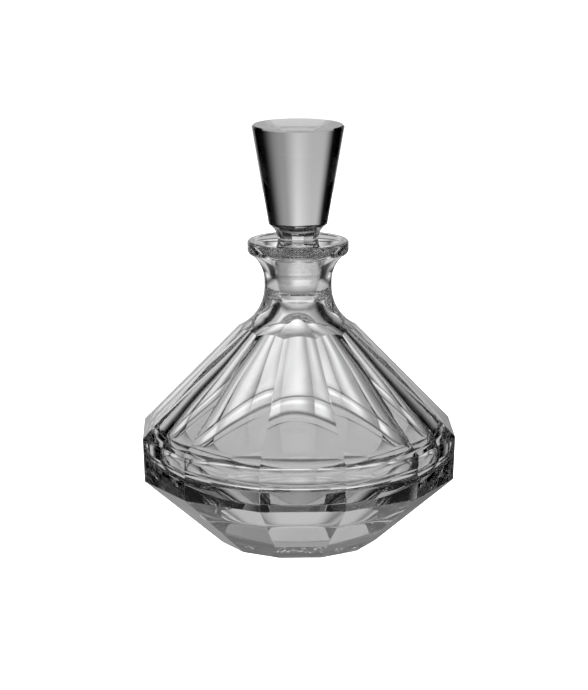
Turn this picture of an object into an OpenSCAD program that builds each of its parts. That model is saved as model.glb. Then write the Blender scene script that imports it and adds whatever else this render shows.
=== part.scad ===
// Cut crystal decanter: a twelve-sided body with a round neck and lip, and a solid
// crystal stopper whose tapered plug seats in the neck.
// Millimetres. +Z is up, the origin is the centre of the base, and a facet faces -Y.

/* [Body facets] */
// Number of facets cut around the body
facet_count = 12; // [8:1:16]
// Radius of the base over its corners
base_r = 45.3; // [40:0.1:50]
// Height of the girdle's lower edge
girdle_low_z = 39.8; // [36:0.1:43]
// Radius of the girdle's lower edge over its corners
girdle_low_r = 90.8; // [89:0.1:95]
// Height of the girdle's upper edge
girdle_high_z = 64.7; // [62:0.1:67]
// Radius of the girdle's upper edge over its corners
girdle_high_r = 91.7; // [90:0.1:96]
// Height at which the shoulder's corners run out into the neck
shoulder_top_z = 124.2; // [123:0.1:126]
// Radius of the shoulder over its corners at that height
shoulder_top_r = 34.2; // [33:0.1:35.5]

/* [Neck and lip] */
// Radius of the neck at its waist
neck_r = 19.2; // [18.5:0.1:20]
// Radius of the hollow that is turned around the foot of the neck
foot_hollow_r = 26.4; // [25:0.1:28]
// Height of that hollow's centre
foot_hollow_z = 148; // [147:0.1:149]
// Radius of the hollow under the lip
lip_hollow_r = 20; // [18:0.1:20.5]
// Height of that hollow's centre
lip_hollow_z = 151; // [150.5:0.1:152]
// Outer radius of the lip
lip_r = 28.8; // [28:0.1:30]
// Height of the lip's underside
lip_low_z = 166.4; // [166:0.1:168]
// Height of the lip's top face
lip_high_z = 174.4; // [173.5:0.1:176]
// Radius of the lip's upper edge
lip_edge_high = 1.4; // [0.8:0.1:2]
// Radius of the lip's lower edge
lip_edge_low = 3; // [2:0.1:3.4]

/* [Bore and cavity] */
// Radius of the mouth at the lip's top face
mouth_r = 24.2; // [23:0.1:25]
// Radius of the plug's seat at its top
seat_high_r = 13; // [12.5:0.1:13.5]
// Height of the top of the seat
seat_high_z = 157.5; // [156:0.1:159]
// Radius of the channel below the seat
channel_r = 10.2; // [9.5:0.1:10.8]
// Radius of the round that leads the channel into the cavity
throat_r = 20; // [16:0.5:22]
// Height at which the cavity's upper wall would meet the channel
throat_z = 133.1; // [132:0.1:134]
// Angle between the cavity's upper wall and the upright
cavity_high_tilt = 44.2; // [43.5:0.1:45]
// Radius of the cavity inside the girdle
cavity_r = 78.5; // [77:0.1:79.5]
// Radius of the round inside the girdle's upper edge
cavity_round_high = 10; // [6:0.5:11]
// Radius of the round inside the girdle's lower edge
cavity_round_low = 8; // [5:0.5:10]
// Angle between the cavity's lower wall and the upright
cavity_low_tilt = 67.5; // [66:0.5:69]
// Thickness of the base
floor_z = 35; // [32:0.5:37]
// Radius at which the lower wall would meet the cavity's floor
floor_r = 42; // [40:0.5:46]
// Radius of the round at the edge of the cavity's floor
floor_round = 20; // [14:0.5:26]

/* [Stopper] */
// Height of the stopper's top face
stopper_top_z = 240; // [230:0.5:250]
// Radius of the stopper's top edge
head_high_r = 26.1; // [24:0.1:28]
// Height at which the head ends and the flutes begin
head_low_z = 183.3; // [182.5:0.1:184]
// Radius of the head at that height
head_low_r = 16.55; // [16:0.05:17]
// Width of the bevel around the top face
head_bevel = 0.9; // [0.4:0.1:1.5]
// Number of flutes cut around the stem
flute_count = 8; // [6:1:10]
// Radius of the wheel that cuts a flute
flute_wheel_r = 10.5; // [10:0.1:10.8]
// Height of the deepest part of a flute
flute_z = 174.6; // [174.4:0.1:175]
// Distance from the stopper's axis to the deepest part of a flute
flute_depth_r = 10.6; // [10:0.1:11]
// Height of the plug's lower face
plug_low_z = 141.5; // [139:0.5:145]
// Bevel around the plug's lower face
plug_bevel = 0.8; // [0.3:0.1:1.2]
// Gap between the plug and its seat
seat_gap = 0.05; // [0.03:0.01:0.1]

/* [Hidden] */
$fn = 96;
over = 1;                                  // how far a cutter passes the face it opens

// The shoulder's facets go on inside the neck to a height where the neck hides them
neck_blank_r = 24;
facet_end_z = 142;
shoulder_slope = (girdle_high_r - shoulder_top_r) / (shoulder_top_z - girdle_high_z);
facet_end_r = shoulder_top_r - (facet_end_z - shoulder_top_z) * shoulder_slope;

// The plug and its seat share one taper, which ends in the channel below the plug
seat_taper = (seat_high_r - channel_r - 0.4) / (seat_high_z - plug_low_z);
seat_low_z = seat_high_z - (seat_high_r - channel_r) / seat_taper;
mouth_round = (pow(mouth_r - seat_high_r, 2) + pow(lip_high_z - seat_high_z, 2))
    / (2 * (mouth_r - seat_high_r));

// Length from a corner to where a round of radius r starts, where the wall turns by an angle
function tangent(r, turn) = r * tan(turn / 2);

// Corners of the cavity's section before they are rounded
upper_corner_z = throat_z - (cavity_r - channel_r) / tan(cavity_high_tilt);
lower_corner_z = floor_z + (cavity_r - floor_r) / tan(cavity_low_tilt);

// Corners of one ring of the faceted solid
function ring(r, z) = [for (i = [0 : facet_count - 1])
    let (a = 360 * (i + 0.5) / facet_count - 90) [r * cos(a), r * sin(a), z]];

// The body's facets: lower facets, upright girdle and shoulder, as one solid of flat faces
module facet_solid() {
    rings = [[base_r, 0], [girdle_low_r, girdle_low_z], [girdle_high_r, girdle_high_z],
        [facet_end_r, facet_end_z]];
    last = len(rings) - 1;
    n = facet_count;
    polyhedron(
        points = [for (g = rings) each ring(g[0], g[1])],
        faces = concat(
            [[for (i = [0 : n - 1]) i]],
            [for (k = [0 : last - 1]) for (i = [0 : n - 1])
                [k * n + i, (k + 1) * n + i, (k + 1) * n + (i + 1) % n, k * n + (i + 1) % n]],
            [[for (i = [n - 1 : -1 : 0]) last * n + i]]));
}

// The hollow that is turned around the neck's foot and gives the shoulder its scalloped top
module foot_hollow() {
    rotate_extrude() translate([neck_r + foot_hollow_r, foot_hollow_z]) circle(r = foot_hollow_r);
}

// Section of the neck and the rounded lip
module neck_section() {
    translate([0, foot_hollow_z - over]) square([neck_r, lip_low_z + 2 * over - foot_hollow_z]);
    difference() {
        translate([0, lip_hollow_z]) square([lip_r - lip_edge_low + over, lip_low_z + over - lip_hollow_z]);
        translate([neck_r + lip_hollow_r, lip_hollow_z]) circle(r = lip_hollow_r);
    }
    translate([0, lip_low_z]) square([lip_r - lip_edge_low, lip_high_z - lip_low_z]);
    translate([0, lip_low_z + lip_edge_low])
        square([lip_r, lip_high_z - lip_edge_high - lip_low_z - lip_edge_low]);
    translate([0, lip_high_z - 2 * lip_edge_high])
        square([lip_r - lip_edge_high, 2 * lip_edge_high]);
    translate([lip_r - lip_edge_low, lip_low_z + lip_edge_low]) circle(r = lip_edge_low);
    translate([lip_r - lip_edge_high, lip_high_z - lip_edge_high]) circle(r = lip_edge_high);
}

// Section of the mouth, the plug's seat and the channel below it
module bore_section() {
    difference() {
        translate([0, seat_high_z]) square([mouth_r, lip_high_z - seat_high_z]);
        translate([seat_high_r + mouth_round, seat_high_z]) circle(r = mouth_round);
    }
    translate([0, lip_high_z]) square([mouth_r, over]);
    polygon([[0, seat_high_z], [seat_high_r, seat_high_z], [channel_r, seat_low_z],
        [channel_r, throat_z], [0, throat_z]]);
}

// Section of the cavity: two sloping walls, an upright one and a floor, with rounded corners
module cavity_section() {
    in_high = tangent(cavity_round_high, cavity_high_tilt);
    in_low = tangent(cavity_round_low, cavity_low_tilt);
    in_floor = tangent(floor_round, 90 - cavity_low_tilt);
    in_throat = tangent(throat_r, cavity_high_tilt);
    polygon([
        [0, floor_z],
        [floor_r - in_floor, floor_z],
        [floor_r + in_floor * sin(cavity_low_tilt), floor_z + in_floor * cos(cavity_low_tilt)],
        [cavity_r - in_low * sin(cavity_low_tilt), lower_corner_z - in_low * cos(cavity_low_tilt)],
        [cavity_r, lower_corner_z + in_low],
        [cavity_r, upper_corner_z - in_high],
        [cavity_r - in_high * sin(cavity_high_tilt), upper_corner_z + in_high * cos(cavity_high_tilt)],
        [channel_r, throat_z],
        [0, throat_z]]);
    translate([cavity_r - cavity_round_low, lower_corner_z + in_low]) circle(r = cavity_round_low);
    translate([cavity_r - cavity_round_high, upper_corner_z - in_high]) circle(r = cavity_round_high);
    translate([floor_r - in_floor, floor_z + floor_round]) circle(r = floor_round);
    difference() {
        polygon([
            [0, throat_z + in_throat],
            [channel_r, throat_z + in_throat],
            [channel_r + in_throat * sin(cavity_high_tilt), throat_z - in_throat * cos(cavity_high_tilt)],
            [0, throat_z - in_throat * cos(cavity_high_tilt)]]);
        translate([channel_r + throat_r, throat_z + in_throat]) circle(r = throat_r);
    }
}

module decanter_body() {
    color("gainsboro", 0.6) difference() {
        union() {
            difference() {
                union() {
                    facet_solid();
                    translate([0, 0, girdle_high_z])
                        cylinder(r = neck_blank_r, h = foot_hollow_z - girdle_high_z);
                }
                foot_hollow();
            }
            rotate_extrude() neck_section();
        }
        rotate_extrude() bore_section();
        rotate_extrude() cavity_section();
    }
}

// Section of the stopper before its flutes are cut
module stopper_section() {
    head_slope = (head_high_r - head_low_r) / (stopper_top_z - head_bevel - head_low_z);
    plug_r = seat_high_r - seat_gap;
    plug_low_r = plug_r - seat_taper * (seat_high_z - plug_low_z);
    plug_edge_z = plug_low_z + plug_bevel;
    stem_low_z = flute_z - flute_wheel_r / 2;
    polygon([
        [0, plug_low_z],
        [plug_low_r - plug_bevel, plug_low_z],
        [plug_low_r + seat_taper * plug_bevel, plug_edge_z],
        [plug_r, seat_high_z],
        [plug_r, stem_low_z],
        [head_low_r, head_low_z],
        [head_high_r, stopper_top_z - head_bevel],
        [head_high_r - head_bevel, stopper_top_z],
        [0, stopper_top_z]]);
}

module stopper() {
    color("silver", 0.6) difference() {
        rotate_extrude() stopper_section();
        for (i = [0 : flute_count - 1])
            rotate(360 * (i + 0.5) / flute_count)
                translate([flute_depth_r + flute_wheel_r, 0, flute_z])
                    rotate([90, 0, 0])
                        cylinder(r = flute_wheel_r, h = 2 * head_high_r, center = true);
    }
}

decanter_body();
stopper();
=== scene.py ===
"""Looks of the cut crystal decanter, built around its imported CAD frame.

The two CAD nodes are replaced by fine meshes of the same size: flat facets with polished
edges, round neck and lip, a blown cavity with slow waves, and a fluted stopper.  The
decanter's sizes are in millimetres here, and its meshes are in metres.
"""
import math

import bpy
import numpy as np
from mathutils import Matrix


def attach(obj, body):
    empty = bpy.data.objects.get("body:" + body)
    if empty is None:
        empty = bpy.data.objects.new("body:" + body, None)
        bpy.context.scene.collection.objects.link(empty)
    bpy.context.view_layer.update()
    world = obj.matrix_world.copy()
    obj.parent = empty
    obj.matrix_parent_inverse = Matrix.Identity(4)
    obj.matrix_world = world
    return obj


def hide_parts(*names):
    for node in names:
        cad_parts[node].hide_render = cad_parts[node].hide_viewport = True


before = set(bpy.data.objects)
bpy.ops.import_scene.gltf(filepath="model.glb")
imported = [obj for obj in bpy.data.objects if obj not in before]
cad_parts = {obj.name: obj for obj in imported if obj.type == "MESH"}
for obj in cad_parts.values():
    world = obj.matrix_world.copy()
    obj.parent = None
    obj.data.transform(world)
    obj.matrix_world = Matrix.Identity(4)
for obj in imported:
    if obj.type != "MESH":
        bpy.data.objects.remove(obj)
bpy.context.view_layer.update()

MM = 0.001

# ---------------------------------------------------------------- sizes of the decanter, in mm
# A pair is (radius, height), and a hollow's pair is its own radius and its centre's height.
FACETS = 12
BASE_R = 45.3
GIRDLE_LOW = (90.8, 39.8)
GIRDLE_HIGH = (91.7, 64.7)
SHOULDER_TOP = (34.2, 124.2)
NECK_R = 19.2
FOOT_HOLLOW = (26.4, 148.0)
LIP_HOLLOW = (20.0, 151.0)
LIP_R = 28.8
LIP_LOW_Z = 166.4
LIP_HIGH_Z = 174.4
LIP_EDGE_HIGH = 1.4
LIP_EDGE_LOW = 3.0
MOUTH_R = 24.2
SEAT_HIGH = (13.0, 157.5)
CHANNEL_R = 10.2
THROAT_R = 20.0
THROAT_Z = 133.1
CAVITY_UPPER_TILT = math.radians(44.2)
CAVITY_LOWER_TILT = math.radians(67.5)
CAVITY_R = 78.5
CAVITY_ROUND_HIGH = 10.0
CAVITY_ROUND_LOW = 8.0
FLOOR_Z = 35.0
FLOOR_R = 42.0
FLOOR_ROUND = 20.0

STOPPER_TOP_Z = 240.0
HEAD_HIGH_R = 26.1
HEAD_LOW = (16.55, 183.3)
HEAD_BEVEL = 0.9
FLUTES = 8
FLUTE_WHEEL_R = 10.5
FLUTE_Z = 174.6
FLUTE_DEPTH_R = 10.6
PLUG_LOW_Z = 141.5
PLUG_BEVEL = 0.8
SEAT_GAP = 0.05
SEAT_OVER_CHANNEL = 0.4     # how much wider the seat is than the channel, at the plug's end

# ---------------------------------------------------------------- studio light
# Soft panels that the glass sees.  Angles are in degrees: azimuth 0 is behind the decanter and
# grows to the right, and height is above or below the horizon.
def soft_panel(azimuth, half_width, soft, low, high, soft_low, soft_high, strength):
    """One panel: its middle, its half width and side softness, its low and high edge and their
    softness, and its strength."""
    return dict(azimuth=azimuth, half_width=half_width, soft=soft, low=low, high=high,
                soft_low=soft_low, soft_high=soft_high, strength=strength)


PANELS = [
    soft_panel(-12, 20, 9, -17, 20, 6, 9, 0.66),        # backdrop
    soft_panel(15, 15, 14, -18, 19, 5, 9, 0.4),         # backdrop's softer right end
    soft_panel(-3, 11, 5, -11, -1, 3, 4, 0.42),         # glow at the backdrop's foot
    soft_panel(175, 48, 15, -2, 22, 6, 8, 2.0),         # window behind the camera
    soft_panel(0, 82, 30, -89, -24, 1, 6, 0.64),        # pale table behind
    soft_panel(177, 86, 14, -89, -21, 1, 6, 0.68),      # pale table in front
    soft_panel(0, 60, 38, -89, -64, 1, 7, 0.5),         # table just under the decanter
    soft_panel(-20, 78, 10, 60, 84, 3, 8, 0.92),        # light from above
]
BACKGROUND = 1.2            # strength of the plain white behind the decanter
TENT = 3.0                  # strength of the white light that falls on the floor
FLOOR_RADIUS = 1.2          # metres
FLOOR_DROP = 0.0004         # metres under the base
FLOOR_SIDES = 96
FLOOR_ROUGHNESS = 0.6
FLOOR_GRAIN_SCALE = 12.0
FLOOR_DARK = (0.84, 0.84, 0.84)
FLOOR_PALE = (0.88, 0.88, 0.88)

# ---------------------------------------------------------------- camera
LENS = 140.7                # millimetres
SENSOR_WIDTH = 36
SHIFT_X = -0.0058
CAMERA_DISTANCE = 1.539     # metres from the point that the camera looks at
LOOK_Z = 0.1133
CAMERA_ELEVATION = math.radians(12.81)
CAMERA_AZIMUTH = math.radians(-1.73)

# ---------------------------------------------------------------- glass
GLASS_IOR = 1.545
ABSORPTION_COLOUR = (0.8, 0.8, 0.8, 1)
BODY_ABSORPTION = 20.0
STOPPER_ABSORPTION = 45.0
BODY_POLISH = 0.02          # roughness of the least polished patches
STOPPER_POLISH = 0.01
POLISH_NOISE = dict(scale=60.0, detail=4.0)
POLISH_RANGE = (0.55, 0.8)  # noise at which the dulling starts, and at which it is full
STREAK_NOISE = dict(scale=18.0, detail=3.0, distortion=1.5)
STREAK_RANGE = (0.45, 0.75)
CLEAR_COLOUR = (1, 1, 1)
STREAK_COLOUR = (0.985, 0.99, 0.99)
WAVE_DEPTH = 4e-6           # metres
WAVE_DETAIL = 1.0
BODY_WAVE_SCALE = 90.0
STOPPER_WAVE_SCALE = 140.0
GLASS_BOUNCES = 32

BLOWN_WAVE = 0.15           # height of the cavity's slowest wave, in mm
BLOWN_TOP_Z = 128.0         # the waves start below this height
BLOWN_FADE = 20.0           # and reach their full height this much lower
# Each wave: its share of that height, how many go round, the rise in mm that shifts it by a
# radian, and its start in radians
BLOWN_WAVES = [(1.0, 3, 14.0, 0.0), (0.6, 5, -9.0, 1.3), (0.4, 9, 6.0, 2.1)]

# ---------------------------------------------------------------- mesh detail
CHAMFER = 0.3               # width of the polished strip along a cut edge, in mm
CHAMFER_R = 60.0            # radius at which the strips of the body's corners have that width
FLUTE_STRIP_R = 25.0        # the same for the strips between the stopper's flutes
COLUMNS_PER_FACET = 24
COLUMNS_PER_FLUTE = 24
ARC_STEP = math.radians(3)
SHARP_ANGLE = math.radians(8)
HALVINGS = 60               # of an interval that holds a solution
# Rows of faces along each stretch of an outline
ROWS = {
    "base": 4, "lower_facet": 8, "girdle": 6, "shoulder": 14, "neck_foot": 28,
    "seat": 6, "upper_wall": 24, "lower_wall": 12, "cavity_floor": 6,
    "plug_end": 4, "plug": 6, "stem": 5, "flute": 36, "head": 18, "top": 6,
}

# Sockets of a Mix node that mixes colours
MIX_FACTOR = 0
MIX_A = 6
MIX_B = 7
MIX_RESULT = 2

FLAT = math.cos(math.pi / FACETS)       # radius of a facet's middle over that of its corners
SHOULDER_SLOPE = (GIRDLE_HIGH[0] - SHOULDER_TOP[0]) / (SHOULDER_TOP[1] - GIRDLE_HIGH[1])
SEAT_TAPER = (SEAT_HIGH[0] - CHANNEL_R - SEAT_OVER_CHANNEL) / (SEAT_HIGH[1] - PLUG_LOW_Z)


# ---------------------------------------------------------------- outlines
def line(a, b, steps=1):
    """Points from a to b, without a."""
    return [(a[0] + (b[0] - a[0]) * i / steps, a[1] + (b[1] - a[1]) * i / steps)
            for i in range(1, steps + 1)]


def arc(centre, radius, start, stop, steps=None):
    """Points on a round from angle start to stop, in radians, both included."""
    steps = steps or max(2, math.ceil(abs(stop - start) / ARC_STEP))
    return [(centre[0] + radius * math.cos(start + (stop - start) * i / steps),
             centre[1] + radius * math.sin(start + (stop - start) * i / steps))
            for i in range(steps + 1)]


def solve(f, low, high):
    """The place between low and high where f changes sign."""
    rising = f(high) > 0
    for _ in range(HALVINGS):
        middle = (low + high) / 2
        if (f(middle) > 0) == rising:
            high = middle
        else:
            low = middle
    return (low + high) / 2


def foot_hollow_r(z):
    """Radius at height z of the hollow around the neck's foot."""
    return NECK_R + FOOT_HOLLOW[0] - math.sqrt(FOOT_HOLLOW[0] ** 2 - (z - FOOT_HOLLOW[1]) ** 2)


def column_angles(count, per, edge_r):
    """Azimuths of a ring's columns, and their angles from the middle of their own facet.

    A narrow strip is left at each of the count corners."""
    half = math.pi / count
    strip = CHAMFER / 2 / edge_r
    inner = np.linspace(-half + strip, half - strip, per)
    angles = np.concatenate([inner + 2 * half * k - math.pi / 2 for k in range(count)])
    return angles, np.tile(inner, count)


def body_outside(phi):
    """Outline of the body's outside at angle phi from a facet's middle, from base to neck."""
    share = FLAT / math.cos(phi)        # the radius at this angle over that of the corners

    def facet_r(z):
        return share * (GIRDLE_HIGH[0] - SHOULDER_SLOPE * (z - GIRDLE_HIGH[1]))

    def cut(corner, before, after):
        """The two points that replace a corner by a narrow polished strip."""
        points = []
        for other in (before, after):
            across, up = other[0] - corner[0], other[1] - corner[1]
            back = CHAMFER / 2 / math.hypot(across, up)
            points.append((corner[0] + across * back, corner[1] + up * back))
        return points

    axis = (0.0, 0.0)
    base = (share * BASE_R, 0.0)
    low = (share * GIRDLE_LOW[0], GIRDLE_LOW[1])
    high = (share * GIRDLE_HIGH[0], GIRDLE_HIGH[1])
    # the facet meets the foot's hollow between the hollow's lowest point and 0.7 of the hollow's
    # radius below its centre
    kink_z = solve(lambda z: facet_r(z) - foot_hollow_r(z),
                   FOOT_HOLLOW[1] - FOOT_HOLLOW[0], FOOT_HOLLOW[1] - 0.7 * FOOT_HOLLOW[0])
    kink = (facet_r(kink_z), kink_z)
    base_in, base_out = cut(base, axis, low)
    low_in, low_out = cut(low, base, high)
    high_in, high_out = cut(high, low, kink)
    points = [axis] + line(axis, base_in, ROWS["base"]) + [base_out]
    points += line(base_out, low_in, ROWS["lower_facet"]) + [low_out]
    points += line(low_out, high_in, ROWS["girdle"]) + [high_out]
    points += line(high_out, kink, ROWS["shoulder"])
    centre = (NECK_R + FOOT_HOLLOW[0], FOOT_HOLLOW[1])
    kink_angle = math.asin((FOOT_HOLLOW[1] - kink_z) / FOOT_HOLLOW[0])
    points += arc(centre, FOOT_HOLLOW[0], math.pi + kink_angle, math.pi, ROWS["neck_foot"])[1:]
    return points


def lip_outline():
    """Outline from the neck's waist, up under the lip and around it to its top face."""
    centre = (NECK_R + LIP_HOLLOW[0], LIP_HOLLOW[1])
    edge = (LIP_R - LIP_EDGE_LOW, LIP_LOW_Z + LIP_EDGE_LOW)
    top = (LIP_R - LIP_EDGE_HIGH, LIP_HIGH_Z - LIP_EDGE_HIGH)
    # the hollow ends at the height of the lip's underside, and the lip's lower round follows
    under_r = centre[0] - math.sqrt(LIP_HOLLOW[0] ** 2 - (LIP_LOW_Z - centre[1]) ** 2)
    end = math.asin((LIP_LOW_Z - centre[1]) / LIP_HOLLOW[0])
    start = -math.acos((under_r - edge[0]) / LIP_EDGE_LOW)
    points = arc(centre, LIP_HOLLOW[0], math.pi, math.pi - end)[:-1]
    points += arc(edge, LIP_EDGE_LOW, start, 0)
    points += arc(top, LIP_EDGE_HIGH, 0, math.pi / 2)
    return points


def bore_outline():
    """Outline from the lip's top face down the mouth and the plug's seat to the throat."""
    flare, depth = MOUTH_R - SEAT_HIGH[0], LIP_HIGH_Z - SEAT_HIGH[1]
    mouth_round = (flare ** 2 + depth ** 2) / (2 * flare)
    centre = (SEAT_HIGH[0] + mouth_round, SEAT_HIGH[1])
    points = arc(centre, mouth_round, math.pi - math.asin(depth / mouth_round), math.pi)
    reach = THROAT_R * math.tan(CAVITY_UPPER_TILT / 2)
    centre = (CHANNEL_R + THROAT_R, THROAT_Z + reach)

    def seat_r(z):
        return SEAT_HIGH[0] - SEAT_TAPER * (SEAT_HIGH[1] - z)

    def throat_r(z):
        return centre[0] - math.sqrt(THROAT_R ** 2 - (z - centre[1]) ** 2)

    # the seat meets the throat's round in the upper part of that round
    meet_z = solve(lambda z: seat_r(z) - throat_r(z), centre[1] - THROAT_R / 2, centre[1])
    points += line(SEAT_HIGH, (seat_r(meet_z), meet_z), ROWS["seat"])
    start = math.asin((centre[1] - meet_z) / THROAT_R)
    points += arc(centre, THROAT_R, math.pi + start, math.pi + CAVITY_UPPER_TILT)[1:]
    return points


def cavity_outline(start):
    """Outline from start down the cavity's sloping, upright and sloping walls, along its floor."""
    upper_z = THROAT_Z - (CAVITY_R - CHANNEL_R) / math.tan(CAVITY_UPPER_TILT)
    lower_z = FLOOR_Z + (CAVITY_R - FLOOR_R) / math.tan(CAVITY_LOWER_TILT)
    up = upper_z - CAVITY_ROUND_HIGH * math.tan(CAVITY_UPPER_TILT / 2)
    down = lower_z + CAVITY_ROUND_LOW * math.tan(CAVITY_LOWER_TILT / 2)
    inner = FLOOR_R - FLOOR_ROUND * math.tan((math.pi / 2 - CAVITY_LOWER_TILT) / 2)
    high = arc((CAVITY_R - CAVITY_ROUND_HIGH, up), CAVITY_ROUND_HIGH, CAVITY_UPPER_TILT, 0)
    low = arc((CAVITY_R - CAVITY_ROUND_LOW, down), CAVITY_ROUND_LOW, 0, -CAVITY_LOWER_TILT)
    foot = arc((inner, FLOOR_Z + FLOOR_ROUND), FLOOR_ROUND, -CAVITY_LOWER_TILT, -math.pi / 2)
    points = line(start, high[0], ROWS["upper_wall"])[:-1] + high + low
    points += line(low[-1], foot[0], ROWS["lower_wall"])[:-1] + foot
    points += line(foot[-1], (0.0, FLOOR_Z), ROWS["cavity_floor"])
    return points


def stopper_outline(phi):
    """Outline of the stopper at angle phi from a flute's middle, from plug to top face."""
    head_slope = (HEAD_HIGH_R - HEAD_LOW[0]) / (STOPPER_TOP_Z - HEAD_BEVEL - HEAD_LOW[1])
    plug_r = SEAT_HIGH[0] - SEAT_GAP
    low_r = plug_r - SEAT_TAPER * (SEAT_HIGH[1] - PLUG_LOW_Z)
    stem_z = FLUTE_Z - FLUTE_WHEEL_R / 2

    def flute_r(z):
        reach = math.sqrt(max(0.0, FLUTE_WHEEL_R ** 2 - (z - FLUTE_Z) ** 2))
        return (FLUTE_DEPTH_R + FLUTE_WHEEL_R - reach) / math.cos(phi)

    def blank_r(z):
        if z <= stem_z:
            return plug_r
        if z <= HEAD_LOW[1]:
            return plug_r + (HEAD_LOW[0] - plug_r) * (z - stem_z) / (HEAD_LOW[1] - stem_z)
        return HEAD_LOW[0] + head_slope * (z - HEAD_LOW[1])

    def gap(z):
        return flute_r(z) - blank_r(z)

    # the wheel cuts into the blank between these heights
    cut_low = solve(gap, FLUTE_Z, FLUTE_Z - FLUTE_WHEEL_R)
    cut_high = solve(gap, FLUTE_Z, FLUTE_Z + FLUTE_WHEEL_R)
    points = [(0.0, PLUG_LOW_Z)]
    points += line(points[-1], (low_r - PLUG_BEVEL, PLUG_LOW_Z), ROWS["plug_end"])
    points += line(points[-1], (low_r + SEAT_TAPER * PLUG_BEVEL, PLUG_LOW_Z + PLUG_BEVEL))
    points += line(points[-1], (plug_r, SEAT_HIGH[1]), ROWS["plug"])
    points += line(points[-1], (blank_r(cut_low), cut_low), ROWS["stem"])
    first = math.asin((cut_low - FLUTE_Z) / FLUTE_WHEEL_R)
    last = math.asin((cut_high - FLUTE_Z) / FLUTE_WHEEL_R)
    steps = ROWS["flute"]
    for i in range(1, steps):
        z = FLUTE_Z + FLUTE_WHEEL_R * math.sin(first + (last - first) * i / steps)
        points.append((flute_r(z), z))
    points.append((blank_r(cut_high), cut_high))
    points += line(points[-1], (HEAD_HIGH_R, STOPPER_TOP_Z - HEAD_BEVEL), ROWS["head"])
    points += line(points[-1], (HEAD_HIGH_R - HEAD_BEVEL, STOPPER_TOP_Z))
    points += line(points[-1], (0.0, STOPPER_TOP_Z), ROWS["top"])
    return points


# ---------------------------------------------------------------- meshes
def revolve(name, outlines, angles):
    """A closed mesh from one outline per azimuth; each starts and ends on the axis."""
    grid = np.array(outlines)                       # columns x points x (r, z)
    columns, count = grid.shape[:2]
    r, z = grid[:, 1:-1, 0], grid[:, 1:-1, 1]
    x = r * np.cos(angles)[:, None]
    y = r * np.sin(angles)[:, None]
    rows = count - 2
    verts = np.stack([x, y, z], axis=2).reshape(-1, 3)
    ends = np.array([[0, 0, grid[0, 0, 1]], [0, 0, grid[0, -1, 1]]])
    verts = np.concatenate([verts, ends]) * MM
    first, last = columns * rows, columns * rows + 1
    faces = []
    for i in range(columns):
        j = (i + 1) % columns
        for k in range(rows - 1):
            faces.append((i * rows + k, j * rows + k, j * rows + k + 1, i * rows + k + 1))
        faces.append((first, j * rows, i * rows))
        faces.append((last, i * rows + rows - 1, j * rows + rows - 1))
    mesh = bpy.data.meshes.new(name)
    mesh.from_pydata(verts.tolist(), [], faces)
    mesh.update()
    for polygon in mesh.polygons:
        polygon.use_smooth = True
    mesh.set_sharp_from_angle(angle=SHARP_ANGLE)
    piece = bpy.data.objects.new(name, mesh)
    bpy.context.collection.objects.link(piece)
    return piece


def blown(outline, angle):
    """The turned outline at one azimuth, with the slow waves of a blown cavity below the throat."""
    points = []
    for r, z in outline:
        depth = min(1.0, max(0.0, (BLOWN_TOP_Z - z) / BLOWN_FADE))
        wave = sum(share * math.sin(around * angle + z / rise + start)
                   for share, around, rise, start in BLOWN_WAVES)
        points.append((r + BLOWN_WAVE * wave * depth * min(1.0, r / FLOOR_R), z))
    return points


def make_body():
    """The vessel: faceted outside, and round neck, mouth, seat and cavity."""
    angles, local = column_angles(FACETS, COLUMNS_PER_FACET, CHAMFER_R)
    turned = lip_outline() + bore_outline()
    turned += cavity_outline(turned[-1])
    outlines = [body_outside(phi) + blown(turned, angle) for phi, angle in zip(local, angles)]
    return revolve("crystal_body", outlines, angles)


def make_stopper():
    """The stopper, with its flutes at the same azimuths as the CAD node's."""
    angles, local = column_angles(FLUTES, COLUMNS_PER_FLUTE, FLUTE_STRIP_R)
    angles = angles + math.pi / 2 + math.pi / FLUTES
    return revolve("crystal_stopper", [stopper_outline(phi) for phi in local], angles)


# ---------------------------------------------------------------- materials
def map_range(tree, value, low, high, to_low=0.0, to_high=1.0):
    """A node that turns low into to_low and high into to_high, and holds them beyond."""
    node = tree.nodes.new("ShaderNodeMapRange")
    tree.links.new(value, node.inputs["Value"])
    for label, number in (("From Min", low), ("From Max", high),
                          ("To Min", to_low), ("To Max", to_high)):
        node.inputs[label].default_value = number
    return node


def colour_mix(tree, factor, first, second):
    """The colour that lies between first and second by the given factor."""
    node = tree.nodes.new("ShaderNodeMix")
    node.data_type = "RGBA"
    node.inputs[MIX_A].default_value = (*first, 1)
    node.inputs[MIX_B].default_value = (*second, 1)
    tree.links.new(factor, node.inputs[MIX_FACTOR])
    return node.outputs[MIX_RESULT]


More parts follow.
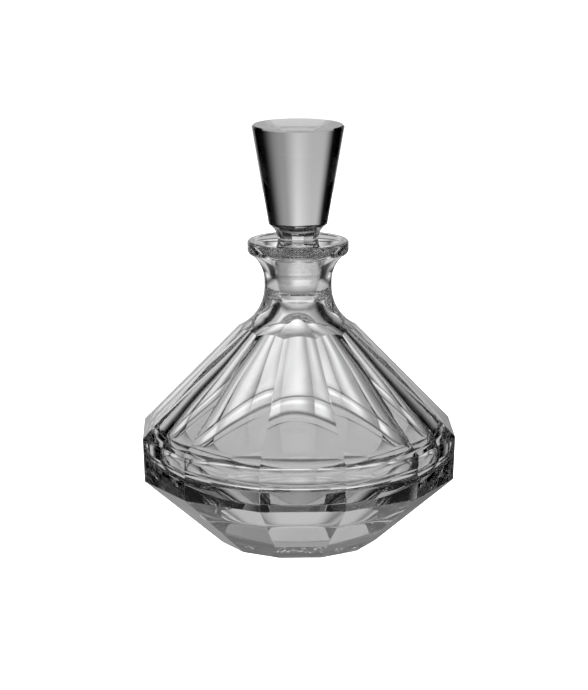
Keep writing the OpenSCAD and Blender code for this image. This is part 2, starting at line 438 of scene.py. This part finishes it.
def crystal(name, wave_scale, polish, absorption):
    """Clear cut crystal: polished, with the faint unevenness that hand polishing leaves."""
    material = bpy.data.materials.new(name)
    material.use_nodes = True
    tree = material.node_tree
    nodes, links = tree.nodes, tree.links
    nodes.clear()
    place = nodes.new("ShaderNodeTexCoord").outputs["Object"]

    def noise(scale, detail, distortion=0.0):
        node = nodes.new("ShaderNodeTexNoise")
        links.new(place, node.inputs["Vector"])
        node.inputs["Scale"].default_value = scale
        node.inputs["Detail"].default_value = detail
        node.inputs["Distortion"].default_value = distortion
        return node.outputs["Fac"]

    shader = nodes.new("ShaderNodeBsdfPrincipled")
    shader.inputs["IOR"].default_value = GLASS_IOR
    shader.inputs["Transmission Weight"].default_value = 1.0
    # polish: clear almost everywhere, very slightly dulled in small patches
    dull = map_range(tree, noise(**POLISH_NOISE), *POLISH_RANGE, to_high=polish)
    links.new(dull.outputs["Result"], shader.inputs["Roughness"])
    # faint streaks of denser glass
    streaks = map_range(tree, noise(**STREAK_NOISE), *STREAK_RANGE)
    tint = colour_mix(tree, streaks.outputs["Result"], CLEAR_COLOUR, STREAK_COLOUR)
    links.new(tint, shader.inputs["Base Color"])
    # waves of the polishing wheel
    bump = nodes.new("ShaderNodeBump")
    bump.inputs["Strength"].default_value = 1.0
    bump.inputs["Distance"].default_value = WAVE_DEPTH
    links.new(noise(wave_scale, WAVE_DETAIL), bump.inputs["Height"])
    links.new(bump.outputs["Normal"], shader.inputs["Normal"])
    absorb = nodes.new("ShaderNodeVolumeAbsorption")
    absorb.inputs["Color"].default_value = ABSORPTION_COLOUR
    absorb.inputs["Density"].default_value = absorption
    output = nodes.new("ShaderNodeOutputMaterial")
    links.new(shader.outputs["BSDF"], output.inputs["Surface"])
    links.new(absorb.outputs["Volume"], output.inputs["Volume"])
    return material


def dress(piece, material, body, node):
    """Give a piece its glass, hang it on its body, and hide the CAD node that it stands in for."""
    piece.data.materials.clear()
    piece.data.materials.append(material)
    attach(piece, body)
    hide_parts(node)
    piece.visible_diffuse = False       # the floor around the crystal stays as pale as the rest


# ---------------------------------------------------------------- studio
class Graph:
    """Short ways to add the few kinds of world node that the studio needs."""

    def __init__(self, tree):
        self.tree, self.nodes, self.links = tree, tree.nodes, tree.links

    def wire(self, value, socket):
        if isinstance(value, bpy.types.NodeSocket):
            self.links.new(value, socket)
        else:
            socket.default_value = value

    def math(self, operation, *values):
        node = self.nodes.new("ShaderNodeMath")
        node.operation = operation
        for value, socket in zip(values, node.inputs):
            self.wire(value, socket)
        return node.outputs[0]

    def step(self, value, low, high, from_value=0.0, to_value=1.0):
        """A smooth step from from_value at low to to_value at high."""
        node = map_range(self.tree, value, low, high, from_value, to_value)
        node.interpolation_type = "SMOOTHSTEP"
        return node.outputs["Result"]

    def background(self, colour, strength):
        node = self.nodes.new("ShaderNodeBackground")
        self.wire(colour, node.inputs["Color"])
        self.wire(strength, node.inputs["Strength"])
        return node.outputs[0]

    def mix(self, factor, first, second):
        node = self.nodes.new("ShaderNodeMixShader")
        for value, socket in zip((factor, first, second), node.inputs):
            self.links.new(value, socket)
        return node.outputs[0]


def panel_light(graph, flat, height, panel):
    """Strength of one soft panel in the direction whose level part is flat, at height degrees."""
    turn = math.radians(panel["azimuth"])
    dot = graph.nodes.new("ShaderNodeVectorMath")
    dot.operation = "DOT_PRODUCT"
    graph.links.new(flat, dot.inputs[0])
    dot.inputs[1].default_value = (math.sin(turn), math.cos(turn), 0)
    aside = graph.math("DEGREES", graph.math("ARCCOSINE", dot.outputs["Value"]))
    half, soft = panel["half_width"], panel["soft"]
    low, high = panel["low"], panel["high"]
    across = graph.step(aside, half - soft, half + soft, panel["strength"], 0.0)
    over = graph.step(height, low - panel["soft_low"], low + panel["soft_low"])
    under = graph.step(height, high - panel["soft_high"], high + panel["soft_high"], 1.0, 0.0)
    return graph.math("MULTIPLY", across, graph.math("MULTIPLY", over, under))


def make_world():
    """White for the camera and for the floor's light; the glass sees the soft panels."""
    world = bpy.data.worlds.new("studio")
    bpy.context.scene.world = world
    world.use_nodes = True
    graph = Graph(world.node_tree)
    graph.nodes.clear()
    way = graph.nodes.new("ShaderNodeTexCoord").outputs["Generated"]
    split = graph.nodes.new("ShaderNodeSeparateXYZ")
    graph.links.new(way, split.inputs[0])
    height = graph.math("DEGREES", graph.math("ARCSINE", split.outputs["Z"]))
    level = graph.nodes.new("ShaderNodeCombineXYZ")
    graph.links.new(split.outputs["X"], level.inputs["X"])
    graph.links.new(split.outputs["Y"], level.inputs["Y"])
    flat = graph.nodes.new("ShaderNodeVectorMath")
    flat.operation = "NORMALIZE"
    graph.links.new(level.outputs[0], flat.inputs[0])
    light = 0.0
    for panel in PANELS:
        light = graph.math("ADD", light, panel_light(graph, flat.outputs[0], height, panel))
    path = graph.nodes.new("ShaderNodeLightPath")
    white = (1, 1, 1, 1)
    seen = graph.mix(path.outputs["Is Diffuse Ray"], graph.background(white, light),
                     graph.background(white, TENT))
    seen = graph.mix(path.outputs["Is Camera Ray"], seen, graph.background(white, BACKGROUND))
    output = graph.nodes.new("ShaderNodeOutputWorld")
    graph.links.new(seen, output.inputs["Surface"])


def make_floor():
    """A plain pale round table top.  The glass sees the panels that stand for it instead."""
    mesh = bpy.data.meshes.new("floor")
    rim = [(FLOOR_RADIUS * math.cos(a), FLOOR_RADIUS * math.sin(a), -FLOOR_DROP)
           for a in np.linspace(0, 2 * math.pi, FLOOR_SIDES, endpoint=False)]
    mesh.from_pydata(rim, [], [tuple(range(len(rim)))])
    floor = bpy.data.objects.new("floor", mesh)
    bpy.context.collection.objects.link(floor)
    material = bpy.data.materials.new("floor_paint")
    material.use_nodes = True
    tree = material.node_tree
    shader = tree.nodes["Principled BSDF"]
    shader.inputs["Roughness"].default_value = FLOOR_ROUGHNESS
    grain = tree.nodes.new("ShaderNodeTexNoise")
    grain.inputs["Scale"].default_value = FLOOR_GRAIN_SCALE
    shade = colour_mix(tree, grain.outputs["Fac"], FLOOR_DARK, FLOOR_PALE)
    tree.links.new(shade, shader.inputs["Base Color"])
    mesh.materials.append(material)
    floor.visible_transmission = False
    floor.visible_glossy = False


def make_camera():
    """A long lens a little above the lip, looking slightly down."""
    data = bpy.data.cameras.new("camera")
    data.lens = LENS
    data.sensor_width = SENSOR_WIDTH
    data.shift_x = SHIFT_X
    camera = bpy.data.objects.new("camera", data)
    bpy.context.collection.objects.link(camera)
    level = CAMERA_DISTANCE * math.cos(CAMERA_ELEVATION)
    camera.location = (level * math.sin(CAMERA_AZIMUTH), -level * math.cos(CAMERA_AZIMUTH),
                       LOOK_Z + CAMERA_DISTANCE * math.sin(CAMERA_ELEVATION))
    camera.rotation_euler = (math.pi / 2 - CAMERA_ELEVATION, 0, CAMERA_AZIMUTH)
    bpy.context.scene.camera = camera


body = make_body()
stopper = make_stopper()
body_glass = crystal("body_crystal", BODY_WAVE_SCALE, BODY_POLISH, BODY_ABSORPTION)
stopper_glass = crystal("stopper_crystal", STOPPER_WAVE_SCALE, STOPPER_POLISH,
                        STOPPER_ABSORPTION)
dress(body, body_glass, "decanter", "decanter_body")
dress(stopper, stopper_glass, "stopper", "stopper")
make_floor()
make_world()
make_camera()

scene = bpy.context.scene
scene.view_settings.view_transform = "Standard"
scene.cycles.use_denoising = True
scene.cycles.max_bounces = GLASS_BOUNCES
scene.cycles.transmission_bounces = GLASS_BOUNCES
scene.cycles.glossy_bounces = GLASS_BOUNCES
